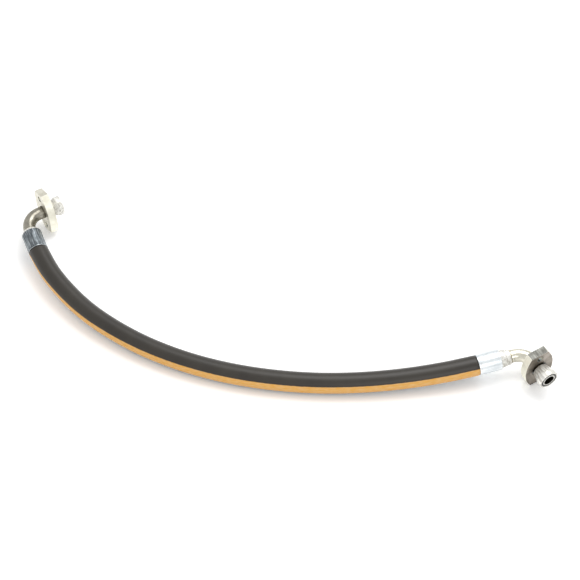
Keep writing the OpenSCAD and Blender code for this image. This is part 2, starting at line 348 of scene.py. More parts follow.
@dataclass(frozen=True)
class PlatedSteel(Finish):
    """Turned, pressed or drawn steel under a thin bright plating.

    Attributes:
        bright: Colour of the clean plating.
        dull: Colour where it is stained or rubbed.
        shade_and_grime: Colour of the painted shade in corners, and of the grime in the grain's lines.
        roughness: Roughness of the clean plating.
        spread: How much rougher its dull patches are.
        patch: Size of those patches, in metres.
        grain_turn: Turn about Z that brings the grain's direction onto X, in degrees.
        grain_stretch: How much longer than wide the grain is.
        grain: Distance from line to line of the grain, in metres, which is several times the real one,
            because real lines are too fine to show.
        grain_tone: How far the grain darkens the plating, from 0 to 1.
        scratch: How strongly the grain's lines stand out, from 0 to 1.
        corner_reach: How far the painted shade reaches out of the corners, in metres.
        metallic: 1 for bare bright plating, less where its matt film scatters the light.
    """

    bright: str
    dull: str
    shade_and_grime: str
    roughness: float = 0.3
    spread: float = 0.1
    patch: float = 16.667 * MM
    grain_turn: float = 0.0
    grain_stretch: float = 1.0
    grain: float = 0.6667 * MM
    grain_tone: float = 0.0
    scratch: float = 0.2
    corner_reach: float = 2.5 * MM
    metallic: float = 1.0

    def surface(self, tree: bpy.types.NodeTree) -> dict[str, Any]:
        """Adds the plating: patches of colour and gloss, a grain of fine lines and painted shade in corners.

        Args:
            tree: The material's node tree.

        Returns:
            What the shader's inputs get, by name.
        """
        place = add_node(tree, "TexCoord").outputs["Object"]

        # Dull stains in patches, and painted shade that darkens the corners, from ambient occlusion.
        patches = add_node(tree, "TexNoise", {"Vector": place, "Scale": 1 / self.patch, "Detail": 6.0,
                                              "Roughness": 0.62})
        colour = add_node(tree, "ValToRGB", {"Fac": patches}, stops=((0.36, self.dull), (0.6, self.bright)))
        corners = add_node(tree, "AmbientOcclusion", {"Distance": self.corner_reach}, samples=8)
        unshaded = add_node(tree, "MapRange", {"Value": corners.outputs["AO"],
                                            "From Min": 0.35, "From Max": 0.85})
        corner_shaded = add_node(tree, "MixRGB", {"Fac": unshaded, "Color1": hex_colour(self.shade_and_grime), "Color2": colour})

        # The lines that a die, saw or lathe has left, which are cut in and hold some grime too.
        aligned = add_node(tree, "Mapping", {"Vector": place,
                                             "Rotation": (0.0, 0.0, math.radians(self.grain_turn))})
        stretched = add_node(tree, "Mapping", {"Vector": aligned,
                                               "Scale": (1 / self.grain_stretch, 1.0, 1.0)})
        scratches = add_node(tree, "TexNoise", {"Vector": stretched, "Scale": 1 / self.grain,
                                                "Detail": 3.0})
        lines = add_node(tree, "MapRange", {"Value": scratches, "From Min": 0.4, "From Max": 0.62,
                                            "To Min": self.grain_tone, "To Max": 0.0})
        lined = add_node(tree, "MixRGB", {"Fac": lines, "Color1": corner_shaded, "Color2": hex_colour(self.shade_and_grime)})
        bump = add_node(tree, "Bump", {"Height": scratches, "Strength": self.scratch, "Distance": 0.05 * MM})
        rough = add_node(tree, "MapRange", {"Value": patches, "From Min": 0.3, "From Max": 0.7,
                                            "To Min": self.roughness + self.spread, "To Max": self.roughness})
        return {"Base Color": lined, "Metallic": self.metallic, "Roughness": rough, "Normal": bump}


# The extruded cover keeps a low satin sheen, and its stripe is printed ink that has worn thin.
COVER = CoverRubber()
# Brassed steel wire glints along its strands, with shadow between them.
BRAID = BraidWire()
# Soft rubber between and inside the braids: matte, because nothing has ever polished it.
LINER = PlainRubber(name="matte_inner_rubber", black="#1c1b1a", grey="#282625", roughness=0.6,
                    grain=1.111 * MM, dark_share=0.3, relief=0.2, depth=0.1 * MM)
# Moulded nitrile rubber of the seals: smooth, with a sheen of oil.
SEAL = PlainRubber(name="oiled_nitrile", black="#141312", grey="#242221", roughness=0.3,
                   grain=2 * MM, dark_share=0.35, relief=0.1, depth=0.05 * MM)
# Bluish zinc on the left ferrule, a darker copy of the ferrule zinc as painted shade, which the crimping dies
# have darkened in lengthwise lines.
SHADED_DIE_MARKED_ZINC = PlatedSteel(
    name="shaded_die_marked_zinc", bright="#a6adb1", dull="#6d7579", shade_and_grime="#353a3e", spread=0.12, patch=14.286 * MM,
    grain_turn=-132.0, grain_stretch=14.0, grain=1.923 * MM, grain_tone=0.75, scratch=0.7)
# Zinc painted nearly white as painted light: a lit copy of the ferrule zinc on the right ferrule, and a
# painted highlight on the ferrules' mouth rims and the plates' edges.
HIGHLIGHT_ZINC = PlatedSteel(
    name="highlight_zinc", bright="#e6eaec", dull="#d2d8db", shade_and_grime="#8d9599", roughness=0.27, spread=0.08,
    grain_turn=-33.0, grain_stretch=14.0, grain=1.923 * MM, grain_tone=0.22, scratch=0.25)
# Slightly yellow plating on the right tube, smooth enough to mirror what is round it.
TUBE_PLATING = PlatedSteel(
    name="tube_plating", bright="#dedbcd", dull="#c2beb0", shade_and_grime="#5d584c", roughness=0.16,
    patch=22.222 * MM, scratch=0.1, corner_reach=5 * MM)
# The left tube's plating is painted darker as painted shade, patchy, and a little duller.
SHADED_TUBE = PlatedSteel(
    name="shaded_tube", bright="#a19d91", dull="#656159", shade_and_grime="#34312c", roughness=0.2, spread=0.14,
    patch=26.316 * MM, scratch=0.15, corner_reach=5 * MM)
# The heads and the inserts are turned and clean: satin, nearly white, with faint streaks.
HEAD_PLATING = PlatedSteel(
    name="turned_head_plating", bright="#fbfaf5", dull="#ecebe4", shade_and_grime="#8a857a", roughness=0.4,
    patch=22.222 * MM, grain_turn=42.0, grain_stretch=14.0, grain=2.381 * MM, grain_tone=0.55,
    corner_reach=1.5 * MM, metallic=0.6)
# Inside the heads' bores the plating is painted dark, as painted shade in the bore.
SHADED_BORE = PlatedSteel(
    name="shaded_bore", bright="#4a463d", dull="#2e2b26", shade_and_grime="#1a1815", roughness=0.35,
    patch=8.333 * MM, scratch=0.3)
# The plates are cut from drawn bar; their bowed sides are painted brightest, as painted light.
HIGHLIT_BAR_SIDE = PlatedSteel(
    name="highlit_drawn_bar_side", bright="#f4f2e4", dull="#dfdccc", shade_and_grime="#8b8778", roughness=0.36, spread=0.12,
    patch=20 * MM)
# The right plate's faces are painted dark and dull, as painted shade.
SHADED_BAR_FACE = PlatedSteel(
    name="shaded_drawn_bar_face", bright="#989086", dull="#6c655b", shade_and_grime="#2b2722", spread=0.14, scratch=0.3,
    corner_reach=5 * MM)
# Its sawn ends are grey, with the saw's lines across them.
BAR_END = PlatedSteel(
    name="sawn_bar_end", bright="#7e7e79", dull="#5e5d58", shade_and_grime="#33322f", roughness=0.36,
    patch=12.5 * MM, grain_turn=42.0, grain_stretch=12.0, grain=1.4286 * MM, grain_tone=0.5, scratch=0.5)
# The left plate's faces and ends are painted pale all over, as painted light.
LIT_PALE_BAR = PlatedSteel(
    name="lit_pale_bar", bright="#dddacd", dull="#c3bfb1", shade_and_grime="#6f6b5e", roughness=0.34, spread=0.12,
    scratch=0.3)
# Brass-coloured braze, which has flowed smooth and dulled.
BRAZE_METAL = PlatedSteel(
    name="braze_metal", bright="#cdc3a6", dull="#a49878", shade_and_grime="#6b6048", spread=0.15, patch=3.333 * MM)


# ---------------------------------------------------------------- modelling by operators


def pick(piece: bpy.types.Object) -> None:
    """Selects one piece alone and makes it active.

    Args:
        piece: The piece.
    """
    bpy.ops.object.select_all(action="DESELECT")
    piece.select_set(True)
    bpy.context.view_layer.objects.active = piece


@contextmanager
def editing(piece: bpy.types.Object) -> Iterator[bpy.types.Object]:
    """Opens one piece in edit mode, with nothing else selected.

    Args:
        piece: The piece to edit.

    Yields:
        The piece.
    """
    pick(piece)
    bpy.ops.object.mode_set(mode="EDIT")
    yield piece
    bpy.ops.object.mode_set(mode="OBJECT")


def primitive(add: Callable[..., Any], name: str, **settings: Any) -> bpy.types.Object:
    """Adds a primitive with nothing else selected.

    Args:
        add: The operator that adds it.
        name: The piece's name.
        settings: Its sizes and place, in metres.

    Returns:
        The new piece.
    """
    bpy.ops.object.select_all(action="DESELECT")
    add(**settings)
    piece = bpy.context.active_object
    piece.name = piece.data.name = name
    return piece


def apply_place() -> None:
    """Moves the selected piece's place into its mesh, and its object to the origin."""
    bpy.ops.object.transform_apply(location=True, rotation=True, scale=True)


def select_faces(piece: bpy.types.Object, wanted: Callable[[bmesh.types.BMFace], bool]) -> None:
    """Selects the faces of the piece in edit mode that a test picks.

    Args:
        piece: The piece, in edit mode.
        wanted: Says of a face whether it is picked.
    """
    bpy.ops.mesh.select_mode(type="FACE")
    bpy.ops.mesh.select_all(action="DESELECT")
    for face in bmesh.from_edit_mesh(piece.data).faces:
        if wanted(face):
            face.select = True
    bmesh.update_edit_mesh(piece.data)


def weld() -> None:
    """Merges the doubles of the mesh in edit mode and turns its faces outwards."""
    bpy.ops.mesh.select_all(action="SELECT")
    bpy.ops.mesh.remove_doubles(threshold=WELD_REACH)
    bpy.ops.mesh.normals_make_consistent(inside=False)


def apply_modifier(piece: bpy.types.Object, kind: str, **settings: Any) -> None:
    """Adds a modifier to a piece and applies it.

    Args:
        piece: The piece.
        kind: The modifier's type.
        settings: Its settings.
    """
    pick(piece)
    modifier = piece.modifiers.new(kind.title(), kind)
    for name, value in settings.items():
        setattr(modifier, name, value)
    bpy.ops.object.modifier_apply(modifier=modifier.name)


def combine(piece: bpy.types.Object, tool: bpy.types.Object, operation: str = "DIFFERENCE") -> None:
    """Cuts a piece with the shape of a tool, which is then thrown away.

    Args:
        piece: The piece.
        tool: The shape that cuts it.
        operation: DIFFERENCE takes the tool's shape away, and INTERSECT leaves what both share.
    """
    apply_modifier(piece, "BOOLEAN", operation=operation, object=tool, solver="EXACT")
    bpy.data.objects.remove(tool, do_unlink=True)


def drill(piece: bpy.types.Object, radius: float, depth: float, across: float = 0.0) -> None:
    """Cuts a round hole along Z through a piece.

    Args:
        piece: The piece.
        radius: The hole's radius, in millimetres.
        depth: How far the drill reaches above z = 0, in millimetres.
        across: How far along Y the hole's centre lies, in millimetres.
    """
    overrun = 5.0
    combine(piece, primitive(
        bpy.ops.mesh.primitive_cylinder_add, "drill", vertices=TURNED_SIDES, radius=radius * MM,
        depth=(depth + 2 * overrun) * MM, location=(0, across * MM, depth / 2 * MM)))


def settle(piece: bpy.types.Object, place: Matrix, smooth_angle: float = 32.0) -> None:
    """Moves a finished mesh to its place in the frame and smooths it, its object at the origin.

    Args:
        piece: The piece, modelled in its own small frame.
        place: Where that frame lies, in metres.
        smooth_angle: Edges sharper than this stay sharp, in degrees.
    """
    pick(piece)
    piece.matrix_world = place @ piece.matrix_world
    apply_place()
    bpy.ops.object.shade_smooth_by_angle(angle=math.radians(smooth_angle))


def eased(corners: Profile, radius: float, steps: int = 3, keep: Sequence[int] = ()) -> Profile:
    """Rounds the corners of a closed profile.

    Args:
        corners: The profile's corners, in order.
        radius: Size of the rounding, along each side.
        steps: Points on each rounded corner, less one.
        keep: Numbers of the corners that stay sharp.

    Returns:
        The rounded profile.
    """
    most_of_side, shortest = 0.45, 1e-6
    out: Profile = []
    for i, corner in enumerate(corners):
        here = Vector(corner)
        before, after = Vector(corners[i - 1]) - here, Vector(corners[(i + 1) % len(corners)]) - here
        reach = min(radius, before.length * most_of_side, after.length * most_of_side)
        if i in keep or reach < shortest:
            out.append((here.x, here.y))
            continue
        start, end = here + before.normalized() * reach, here + after.normalized() * reach
        for k in range(steps + 1):
            t = k / steps
            spot = start * (1 - t) ** 2 + here * (2 * t * (1 - t)) + end * t ** 2
            out.append((spot.x, spot.y))
    return out


def turned(name: str, profile: Profile, sides: int = TURNED_SIDES) -> bpy.types.Object:
    """Turns a closed profile of radius and height about Z, as on a lathe.

    Args:
        name: The piece's name.
        profile: The section's points, radius first, in millimetres.
        sides: Steps round the axis.

    Returns:
        The turned piece.
    """
    radius, height = profile[0]
    piece = primitive(bpy.ops.mesh.primitive_circle_add, name, vertices=sides, radius=radius * MM,
                      location=(0, 0, height * MM))
    apply_place()
    with editing(piece):
        bpy.ops.mesh.select_mode(type="VERT")
        bpy.ops.mesh.select_all(action="SELECT")
        for (r0, h0), (r1, h1) in zip(profile, profile[1:] + profile[:1]):
            bpy.ops.mesh.extrude_region_move(TRANSFORM_OT_translate={"value": (0, 0, (h1 - h0) * MM)})
            bpy.ops.transform.resize(value=(r1 / r0, r1 / r0, 1), center_override=(0, 0, h1 * MM))
        weld()
    return piece


def place_piece(piece: bpy.types.Object, body: Body, slot: str, node: str, *finishes: Finish,
                kinds: Sequence[int] = ()) -> None:
    """Dresses a piece, and says which body it rides on and which node it stands for.

    Args:
        piece: The piece.
        body: The body that carries it.
        slot: The record's material slot; not used.
        node: The node that it replaces.
        finishes: Its finishes.
        kinds: For each of its faces the number of its finish, or nothing if it has only one.
    """
    piece.data.materials.clear()
    for finish in finishes:
        piece.data.materials.append(finish.material())
    if kinds:
        piece.data.polygons.foreach_set("material_index", kinds)
    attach(piece, body.value)
    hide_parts(node)
    LOG.info("%s rides on %s", piece.name, body.value)


# ---------------------------------------------------------------- the hose


@dataclass(frozen=True)
class Mouth:
    """Where the hose enters a ferrule.

    Attributes:
        at: Middle of the ferrule's mouth, in metres.
        heading: Heading of the ferrule's axis away from the hose, from +X towards +Y, in degrees.
        climb: How far that axis climbs, in degrees.
    """

    at: Point
    heading: float
    climb: float

    def outwards(self, reach: float) -> Vector:
        """Works out a point of the ferrule's axis.

        Args:
            reach: How far beyond the mouth it lies, in metres.

        Returns:
            The point, in metres.
        """
        heading, climb = math.radians(self.heading), math.radians(self.climb)
        flat = math.cos(climb)
        return Vector(self.at) + Vector((flat * math.cos(heading), flat * math.sin(heading),
                                         math.sin(climb))) * reach

    def frame(self, roll: float) -> Matrix:
        """Works out the frame at the mouth that has the ferrule's axis as X.

        Args:
            roll: How far the frame is rolled about that axis, in degrees.

        Returns:
            The frame, in metres.
        """
        return (Matrix.Translation(self.at) @ Matrix.Rotation(math.radians(self.heading), 4, "Z")
                @ Matrix.Rotation(math.radians(-self.climb), 4, "Y")
                @ Matrix.Rotation(math.radians(-roll), 4, "X"))


@dataclass(frozen=True)
class Layer:
    """One layer of the hose's wall.

    Attributes:
        name: The piece's name.
        node: The node that it replaces.
        inner: Its inner radius, in millimetres.
        outer: Its outer radius, in millimetres.
        step: Distance between its rings along the hose, in millimetres.
        finish: Its finish.
        slot: The record's material slot.
    """

    name: str
    node: str
    inner: float
    outer: float
    step: float
    finish: Finish
    slot: str


@dataclass
class Hose:
    """The hose: a liner, two wire braids with rubber between them, and a striped cover.

    Attributes:
        left: Where it enters the left ferrule.
        right: Where it enters the right one.
        route: Points of the free centreline between the mouths, in metres.
        reach: How far the hose goes into each ferrule, in metres.
        taper: How far before and behind the mouth the crimp begins and ends, in metres.
        radius: Radius of the cover, in metres.
        bore: Radius of the bore, in metres.
        squeeze: How far the crimp presses the cover in, in metres.
        around: Steps round the hose.
        cut_length: Length of the hose from end to end, in metres; not used.
        measure_step: Distance between the points that its length is measured on, in metres.
        stripe_line: Where the stripe's upper edge lies: metres from the left end, and degrees.
        inner_layers: The layers under the cover, from the inside out.
        cover: The cover.
    """

    left: Mouth
    right: Mouth
    route: tuple[Point, ...] = (
        (-0.319, -0.072, 0.0255), (-0.283, -0.0955, 0.0222), (-0.245, -0.1145, 0.0197),
        (-0.2045, -0.1285, 0.0178), (-0.163, -0.1385, 0.0163), (-0.1205, -0.1445, 0.0151),
        (-0.0775, -0.1467, 0.0144), (-0.0345, -0.1453, 0.014), (0.008, -0.1406, 0.014),
        (0.0505, -0.1326, 0.014), (0.092, -0.122, 0.0144), (0.1325, -0.1086, 0.0153),
        (0.172, -0.0929, 0.0167), (0.211, -0.0749, 0.0186), (0.249, -0.0549, 0.0211))
    reach: float = 28.95 * MM
    taper: float = 2 * MM
    radius: float = 14 * MM
    bore: float = 9.5 * MM
    squeeze: float = 1.6 * MM
    around: int = 64
    cut_length: float = 0.744
    measure_step: float = 5 * MM
    stripe_line: tuple[tuple[float, float], ...] = (
        (0.03, -80.0), (0.06, -74.0), (0.1, -69.5), (0.14, -67.5), (0.18, -65.0), (0.235, -61.5),
        (0.32, -59.5), (0.45, -59.0), (0.76, -57.5))
    inner_layers: tuple[Layer, ...] = (
        Layer("hose_liner_tube", "hose_liner", 9.5, 11.1, 6.0, LINER, "inner_rubber"),
        Layer("hose_inner_braid_tube", "inner_wire_braid", 11.15, 11.75, 6.0, BRAID, "braid_wire"),
        Layer("hose_separator_tube", "braid_separator", 11.8, 12.1, 6.0, LINER, "inner_rubber"),
        Layer("hose_outer_braid_tube", "outer_wire_braid", 12.15, 12.75, 6.0, BRAID, "braid_wire"))
    cover: Layer = Layer("hose_cover_tube", "hose_cover", 12.8, 14.0, 2.5, COVER, "cover_rubber")

    def line(self, step: float) -> list[Vector]:
        """Draws the smooth centreline, with the ends inside the ferrules.

        Args:
            step: About how far apart its points lie, in metres.

        Returns:
            Its points, in metres.
        """
        knots = ([self.left.outwards(reach) for reach in (self.reach, self.taper, -self.taper)]
                 + [Vector(spot) for spot in self.route]
                 + [self.right.outwards(reach) for reach in (-self.taper, self.taper, self.reach)])
        out = [knots[0]]
        for i in range(len(knots) - 1):
            before = knots[i - 1] if i else knots[0] * 2 - knots[1]
            after = knots[i + 2] if i + 2 < len(knots) else knots[-1] * 2 - knots[-2]
            start, end = knots[i], knots[i + 1]
            span = (end - start).length
            lead = (end - before) * (span / (span + (start - before).length))
            tail = (after - start) * (span / (span + (after - end).length))
            pieces = max(1, round(span / step))
            for k in range(1, pieces + 1):
                t = k / pieces
                out.append(start * (2 * t ** 3 - 3 * t ** 2 + 1) + lead * (t ** 3 - 2 * t ** 2 + t)
                           + end * (3 * t ** 2 - 2 * t ** 3) + tail * (t ** 3 - t ** 2))
        return out

    def length(self) -> float:
        """Returns the length of the smooth centreline, in metres."""
        line = self.line(self.measure_step)
        return sum((b - a).length for a, b in zip(line, line[1:]))

    def stripe_angle(self, along: float) -> float:
        """Works out where the stripe's upper edge lies, which turns slowly towards the left end.

        Args:
            along: Distance from the hose's left end, in metres.

        Returns:
            The edge's angle round the hose, in degrees.
        """
        if along <= self.stripe_line[0][0]:
            return self.stripe_line[0][1]
        for (a, from_angle), (b, to_angle) in zip(self.stripe_line, self.stripe_line[1:]):
            if along <= b:
                return from_angle + (to_angle - from_angle) * (along - a) / (b - a)
        return self.stripe_line[-1][1]

    def crimp(self, along: float, total: float) -> float:
        """Works out how far the crimp has closed at a place of the hose.

        Args:
            along: Distance from the hose's left end, in metres.
            total: Length of the hose, in metres.

        Returns:
            From 0 for the free hose to 1 for the fully crimped one.
        """
        from_mouth = min(along, total - along) - (self.reach - self.taper)
        t = min(max(from_mouth / (2 * self.taper), 0.0), 1.0)
        return 1.0 - t * t * (3 - 2 * t)

    def place_rings(self, mesh: bmesh.types.BMesh, line: list[Vector],
                    radii: Sequence[float]) -> tuple[list[list[Ring]], list[float]]:
        """Places rings of vertices along the centreline, which begin opposite the stripe.

        Args:
            mesh: The mesh that gets them.
            line: The centreline's points.
            radii: Radii of the shells that they make, in metres.

        Returns:
            The rings of each shell, and how far along the hose they lie, in metres.
        """
        total = self.length()
        thinned = (self.radius - self.squeeze - self.bore) / (self.radius - self.bore)
        shells: list[list[Ring]] = [[] for _ in radii]
        alongs: list[float] = []
        along = 0.0
        for i, centre in enumerate(line):
            heading = (line[min(i + 1, len(line) - 1)] - line[max(i - 1, 0)]).normalized()
            side = Vector((0, 0, 1)).cross(heading).normalized()
            above = heading.cross(side)
            along += (centre - line[i - 1]).length if i else 0.0
            alongs.append(along)
            crimped = self.crimp(along, total)
            middle = math.radians(self.stripe_angle(along)) - COVER.stripe_width / 2 / self.radius
            turns = [middle + math.pi + 2 * math.pi * k / self.around for k in range(self.around)]
            for rings, radius in zip(shells, radii):
                lay = radius + (self.bore + (radius - self.bore) * thinned - radius) * crimped
                rings.append([mesh.verts.new(centre + lay * (math.cos(turn) * above + math.sin(turn) * side))
                              for turn in turns])
        return shells, alongs

    def tube(self, layer: Layer) -> tuple[bpy.types.Object, list[Vector]]:
        """Sweeps one layer of the hose along the centreline, with its map in metres.

        Args:
            layer: The layer.

        Returns:
            The piece, and the points that it follows.
        """
        line = self.line(layer.step * MM)
        mesh = bmesh.new()
        hose_map = mesh.loops.layers.uv.new("hose_map")
        shells, alongs = self.place_rings(mesh, line, (layer.outer * MM, layer.inner * MM))
        for rings, is_inner in zip(shells, (False, True)):
            for i, (ring, onward) in enumerate(zip(rings, rings[1:])):
                for k in range(self.around):
                    beside = (k + 1) % self.around
                    corners = [ring[k], ring[beside], onward[beside], onward[k]]
                    spots = [(k, i), (k + 1, i), (k + 1, i + 1), (k, i + 1)]
                    if is_inner:
                        corners.reverse()
                        spots.reverse()
                    for loop, (column, row) in zip(mesh.faces.new(corners).loops, spots):
                        across = (column / self.around - 0.5) * 2 * math.pi * self.radius
                        loop[hose_map].uv = (across, alongs[row])
        for end, flip in ((0, False), (-1, True)):
            outer_ring, inner_ring = shells[0][end], shells[1][end]
            for k in range(self.around):
                beside = (k + 1) % self.around
                corners = [outer_ring[k], inner_ring[k], inner_ring[beside], outer_ring[beside]]
                for loop in mesh.faces.new(corners[::-1] if flip else corners).loops:
                    loop[hose_map].uv = (math.pi * self.radius, alongs[end])
        bmesh.ops.recalc_face_normals(mesh, faces=mesh.faces)
        data = bpy.data.meshes.new(layer.name)
        mesh.to_mesh(data)
        mesh.free()
        data.shade_smooth()
        piece = bpy.data.objects.new(layer.name, data)
        bpy.context.scene.collection.objects.link(piece)
        return piece, line

    def build(self) -> None:
        for layer in self.inner_layers:
            piece, _ = self.tube(layer)
            place_piece(piece, Body.HOSE, layer.slot, layer.node, layer.finish)
        cover, line = self.tube(self.cover)
        place_piece(cover, Body.HOSE, self.cover.slot, self.cover.node, self.cover.finish)


# ---------------------------------------------------------------- the end fittings


@dataclass(frozen=True)
class TubeStock:
    """The tube that the ends are bent from and how pieces are joined to it, in millimetres.

    Attributes:
        radius: Radius of the tube.
        wall: Its wall.
        gap: Room between pieces that are crimped or brazed together.
        fillet: Size of a braze ring.
    """

    radius: float = 9.0
    wall: float = 1.5
    gap: float = 0.05
    fillet: float = 1.5

    @property
    def seat_r(self) -> float:
        """Returns the radius of a socket for the tube."""
        return self.radius + self.gap


TUBE = TubeStock()


class PlateSurface(Enum):
    """The surfaces of a clamp plate, numbered as its finishes are."""

    SIDE = 0
    FACE = 1
    END = 2
    # The edges carry a painted highlight.
    EDGE = 3

    @staticmethod
    def facing(normal: Vector) -> "PlateSurface":
        """Tells which surface a face belongs to.

        Args:
            normal: The face's normal, with Z along the tube and Y along the plate.

        Returns:
            The surface.
        """
        square_on, past_the_bow, past_flat = 0.96, 0.6, 0.12
        along_tube, along_plate = abs(normal.z), abs(normal.y)
        if along_tube > square_on:
            return PlateSurface.FACE
        if along_tube > past_flat or past_the_bow < along_plate < square_on:
            return PlateSurface.EDGE
        return PlateSurface.END if along_plate > square_on else PlateSurface.SIDE


@dataclass(frozen=True)
class ClampPlate:
    """A loose two-bolt plate of flat bar, with bowed sides, flat ends and three holes.

    Sizes are in millimetres.

    Attributes:
        turn: How far it is turned from upright, in degrees.
        setback: How far beyond the bend's end its back lies.
        finishes: Its finishes on sides, faces, ends and edges, where the edges' finish is a painted
            highlight.
        length: Its length.
        width: Its width across the middle.
        end_flat: Width of its flat ends.
        thickness: Its thickness.
        bolt_spacing: Distance between the bolt holes.
        bolt_r: Radius of the bolt holes.
        countersink: Width of the chamfer on the middle hole's front.
        clearance: Room between the tube and the middle hole.
        edge_round: Size of the rounding on its edges.
        bow_sides: Steps of the whole circle that its bowed sides are arcs of.
    """

    turn: float
    setback: float
    finishes: tuple[PlatedSteel, PlatedSteel, PlatedSteel, PlatedSteel]
    length: float = 60.0
    width: float = 43.0
    end_flat: float = 25.5
    thickness: float = 11.0
    bolt_spacing: float = 42.0
    bolt_r: float = 4.5
    countersink: float = 1.5
    clearance: float = 0.3
    edge_round: float = 0.9
    bow_sides: int = 360

    def outline(self, name: str) -> bpy.types.Object:
        """Cuts the plate's outline: what two wide discs share, sawn off at both ends.

        Args:
            name: The piece's name.

        Returns:
            The plate without its holes.
        """
        rise = (self.width - self.end_flat) / 2
        bow_r = ((self.length / 2) ** 2 + rise ** 2) / (2 * rise)
        shift = bow_r - self.width / 2
        piece, other = [
            primitive(bpy.ops.mesh.primitive_cylinder_add, title, vertices=self.bow_sides,
                      radius=bow_r * MM, depth=self.thickness * MM,
                      location=(sign * shift * MM, 0, (self.setback + self.thickness / 2) * MM))
            for title, sign in ((name, 1), ("other_bow", -1))]
        combine(piece, other, "INTERSECT")
        apply_place()
        with editing(piece):
            for sign in (1, -1):
                bpy.ops.mesh.select_all(action="SELECT")
                bpy.ops.mesh.bisect(plane_co=(0, sign * self.length / 2 * MM, 0), plane_no=(0, sign, 0),
                                    use_fill=True, clear_outer=True)
        return piece

    def bore(self, piece: bpy.types.Object) -> None:
        """Drills the hole for the tube, with its countersink, and the two bolt holes.

        Args:
            piece: The plate, before its edges are eased.
        """
        radius, front = TUBE.radius + self.clearance, self.setback + self.thickness
        overcut, core = 1.0, 1.0
        drill(piece, radius, front)
        for sign in (1, -1):
            drill(piece, self.bolt_r, front, sign * self.bolt_spacing / 2)
        wide, deep = radius + self.countersink + overcut, front - self.countersink - overcut
        combine(piece, turned("countersink", [(radius - overcut, deep), (wide, front + overcut),
                                              (core, front + overcut), (core, deep)]))

    def build(self, side: Side, nose: Matrix) -> None:
        """Makes the plate and puts it on its body.

        Args:
            side: Which end of the hose it is on.
            nose: Frame at the bend's end that has the nose's axis as Z.
        """
        piece = self.outline(side.named("oval_plate"))
        self.bore(piece)
        apply_modifier(piece, "BEVEL", width=self.edge_round * MM, segments=3, limit_method="ANGLE",
                       angle_limit=math.radians(35), harden_normals=False)
        kinds = [PlateSurface.facing(face.normal).value for face in piece.data.polygons]
        settle(piece, nose @ Matrix.Rotation(math.radians(self.turn), 4, "Z"))
        apply_modifier(piece, "WEIGHTED_NORMAL", keep_sharp=True)
        place_piece(piece, Body(side.named("clamp")), "plate_steel", side.named("clamp_plate"),
                    *self.finishes, kinds=kinds)


@dataclass(frozen=True)
class Ferrule:
    """The sleeve that is crimped on the hose's end and on the insert's neck.

    Sizes are in millimetres, and places count from its mouth.

    Attributes:
        zinc: Its finish.
        radius: Its radius.
        length: Its length.
        lip: Thickness of the lip that holds the insert's neck.
        neck_r: Radius of that neck.
        edge: Size of the rounding on its edges.
        grip_r: Its inner radius, on the crimped hose.
        mouth_r: Its inner radius at the mouth.
        flare: Length of the widening at the mouth.
        rim_highlight: How far up its mouth's edge a painted highlight reaches.
        dies: Number of crimping dies.
        die_steps: Steps round the ferrule under each die.
        die_share: How much of its share of the ferrule a die marks.
        die_slope: Width of the slope round a die's mark.
        margin: How far from both ends the marks keep.
        depth: Depth of the marks.
        skin: How deep under its radius a face still belongs to its outside.
    """

    zinc: PlatedSteel
    radius: float = 14.3
    length: float = 31.0
    lip: float = 2.0
    neck_r: float = 10.5
    edge: float = 0.4
    grip_r: float = 12.45
    mouth_r: float = 13.4
    flare: float = 2.0
    rim_highlight: float = 0.7
    dies: int = 8
    die_steps: int = 16
    die_share: float = 0.86
    die_slope: float = 0.5
    margin: float = 3.0
    depth: float = 0.4
    skin: float = 0.5

    @property
    def inside(self) -> float:
        """Returns where the lip begins, which is where the hose ends."""
        return self.length - self.lip

    def under_die(self, middle: float, face: bmesh.types.BMFace) -> bool:
        """Tells whether a face is on the outside and under a crimping die.

        Args:
            middle: Angle of the die's middle, in radians.
            face: The face.

        Returns:
            Whether it is.
        """
        spot = face.calc_center_median()
        off = (math.atan2(spot.y, spot.x) - middle + math.pi) % (2 * math.pi) - math.pi
        return (spot.xy.length > (self.radius - self.skin) * MM
                and self.margin * MM < spot.z < (self.length - self.margin) * MM
                and abs(off) < math.pi / self.dies * self.die_share)

    def build(self, side: Side, axis: Matrix) -> None:
        """Turns the ferrule and presses the dies' flats into it.

        Args:
            side: Which end of the hose it is on.
            axis: Frame at the mouth that has the ferrule's axis as Z.
        """
        lip_r = self.neck_r + TUBE.gap
        outline: Profile = [
            (self.mouth_r, 0.0), (self.radius, 0.0), (self.radius, self.length), (lip_r, self.length),
            (lip_r, self.inside), (self.grip_r, self.inside), (self.grip_r, self.flare)]
        outline = eased(outline, self.edge, steps=4, keep=(4, 5, 6))
        piece = turned(side.named("crimped_ferrule"), outline, sides=self.dies * self.die_steps)
        with editing(piece):
            for height in (self.margin, self.length - self.margin):
                bpy.ops.mesh.select_all(action="SELECT")
                bpy.ops.mesh.bisect(plane_co=(0, 0, height * MM), plane_no=(0, 0, 1))
            for die in range(self.dies):
                select_faces(piece, partial(self.under_die, 2 * math.pi * die / self.dies))
                bpy.ops.mesh.inset(thickness=self.die_slope * MM, depth=-self.depth * MM)
        # The outer edge of the mouth gets a painted highlight, its second finish.
        rim_highlight = [int(face.center.z < self.rim_highlight * MM and face.center.xy.length > self.mouth_r * MM)
                  for face in piece.data.polygons]
        settle(piece, axis, smooth_angle=24.0)
        place_piece(piece, Body.HOSE, "ferrule_steel", side.named("ferrule"), self.zinc, HIGHLIGHT_ZINC,
                    kinds=rim_highlight)


